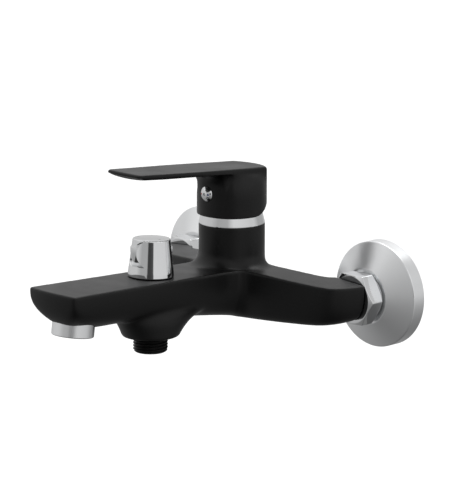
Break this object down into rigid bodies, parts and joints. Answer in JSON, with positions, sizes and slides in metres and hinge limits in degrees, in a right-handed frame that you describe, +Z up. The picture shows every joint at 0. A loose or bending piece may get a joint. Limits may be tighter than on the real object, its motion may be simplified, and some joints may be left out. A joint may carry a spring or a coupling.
{
  "type": "wall mounted bath faucet",
  "caption": "Wall mounted bath mixer with a long flat spout, a lever over a round column, a diverter knob, a threaded shower outlet and round wall escutcheons.",
  "frame": {"origin": "on the finished wall, midway between the two water inlets", "axes": "+X along the wall, -Y out of the wall towards the user, +Z up"},
  "size_m": [0.215, 0.2244, 0.1154],
  "materials": {
    "satin_black": "satin black coating",
    "chrome": "mirror chrome",
    "brass": "turned brass",
    "steel": "stainless steel",
    "ceramic": "lapped alumina ceramic",
    "plastic": "moulded white plastic",
    "rubber": "black seal rubber"
  },
  "bodies": {
    "faucet_body": {"body_casting": "satin_black", "shower_outlet_nipple": "satin_black", "left_union_nut": "chrome", "right_union_nut": "chrome", "left_escutcheon": "chrome", "right_escutcheon": "chrome", "trim_ring": "chrome", "aerator_housing": "chrome", "left_inlet_tailpiece": "brass", "right_inlet_tailpiece": "brass", "left_s_union": "chrome", "right_s_union": "chrome", "cartridge_nut": "brass", "diverter_bonnet": "brass", "aerator_screen": "steel", "fixed_disc": "ceramic", "diverter_fixed_disc": "ceramic", "cartridge_base": "plastic", "cartridge_housing": "plastic", "aerator_insert": "plastic", "left_inlet_gasket": "rubber", "right_inlet_gasket": "rubber", "hot_port_seal": "rubber", "cold_port_seal": "rubber", "mixed_port_seal": "rubber", "diverter_seal": "rubber", "aerator_gasket": "rubber"},
    "mixer_rotor": {"cartridge_rotor": "plastic", "stem_pin": "steel"},
    "lever": {"lever_handle": "satin_black", "lever_grub_screw": "steel", "index_cap": "chrome", "cartridge_stem": "brass"},
    "mixing_disc": {"moving_disc": "ceramic", "disc_carrier": "plastic"},
    "diverter": {"diverter_knob": "chrome", "knob_grub_screw": "steel", "diverter_spindle": "brass", "spindle_circlip": "steel", "diverter_moving_disc": "ceramic", "spindle_o_ring": "rubber"}
  },
  "joints": [
    {"name": "temperature_turn", "type": "hinge", "parent": "faucet_body", "child": "mixer_rotor", "pos_m": [0, -0.057, 0.034], "axis": [0, 0, 1], "range_deg": [-45, 45]},
    {"name": "lever_lift", "type": "hinge", "parent": "mixer_rotor", "child": "lever", "pos_m": [0, -0.057, 0.034], "axis": [-1, 0, 0], "range_deg": [0, 25]},
    {"name": "disc_slide", "type": "slide", "parent": "mixer_rotor", "child": "mixing_disc", "axis": [0, -1, 0], "range_m": [0, 0.0047]},
    {"name": "diverter_turn", "type": "hinge", "parent": "faucet_body", "child": "diverter", "pos_m": [0, -0.125, 0], "axis": [0, 0.0346, 0.9994], "range_deg": [-90, 0]}
  ],
  "couplings": [
    {"joint": "disc_slide", "follows": "lever_lift", "m_per_rad": 0.0106}
  ]
}
